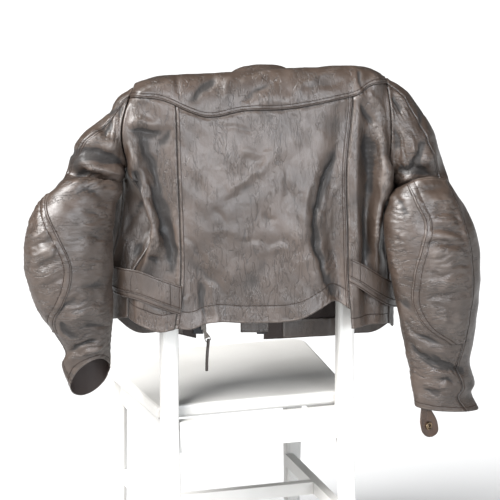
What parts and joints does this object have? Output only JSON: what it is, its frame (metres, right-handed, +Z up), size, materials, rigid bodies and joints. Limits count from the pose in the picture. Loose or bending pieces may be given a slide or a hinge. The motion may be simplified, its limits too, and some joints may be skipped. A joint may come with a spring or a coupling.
{
  "type": "biker jacket on a chair",
  "caption": "Dark leather biker jacket with padded sleeves and side straps, hung unzipped over the back of a plain painted wooden chair.",
  "frame": {"origin": "on the floor, under the middle of the chair and jacket together", "axes": "+Z up, +Y the way a sitter faces, +X to the right as seen from behind the chair"},
  "size_m": [0.9202, 0.5138, 1.0925],
  "materials": {
    "leather": "worn dark brown-black cowhide, semi-gloss",
    "leather_inside": "turned-in leather of the hems, matt",
    "zip_tape": "woven black zip tape",
    "zip_metal": "dull antique nickel",
    "painted_wood": "white satin paint"
  },
  "bodies": {
    "root": {"back_centre": "leather", "back_side_left": "leather", "back_side_right": "leather", "chair_back_apron": "painted_wood", "chair_back_post_left": "painted_wood", "chair_back_post_right": "painted_wood", "chair_cross_stretcher": "painted_wood", "chair_front_apron": "painted_wood", "chair_front_leg_left": "painted_wood", "chair_front_leg_right": "painted_wood", "chair_low_rail": "painted_wood", "chair_seat": "painted_wood", "chair_side_apron_left": "painted_wood", "chair_side_apron_right": "painted_wood", "chair_side_stretcher_left": "painted_wood", "chair_side_stretcher_right": "painted_wood", "chair_slat_1": "painted_wood", "chair_slat_2": "painted_wood", "chair_slat_3": "painted_wood", "chair_top_rail": "painted_wood", "collar": "leather", "cuff_snap": "zip_metal", "cuff_tab": "leather", "elbow_left": "leather", "elbow_right": "leather", "front_left": "leather", "front_right": "leather", "hem_facing_left": "leather_inside", "hem_facing_right": "leather_inside", "side_left": "leather", "side_right": "leather", "sleeve_back_left": "leather", "sleeve_back_right": "leather", "sleeve_front_left": "leather", "sleeve_front_right": "leather", "waist_strap_left": "leather", "waist_strap_right": "leather", "waist_strap_under_left": "leather", "waist_strap_under_right": "leather", "wind_flap": "leather", "yoke": "leather", "zip_bail": "zip_metal", "zip_slider": "zip_metal", "zip_tape_left": "zip_tape", "zip_tape_right": "zip_tape"},
    "zip_pull": {"zip_pull": "zip_metal", "zip_lanyard": "leather"}
  },
  "joints": [
    {"name": "zip_pull_hinge", "type": "hinge", "parent": "root", "child": "zip_pull", "pos_m": [-0.07291, -0.05165, 0.57438], "axis": [0.9397, 0, 0.342], "range_deg": [0, 150]}
  ]
}
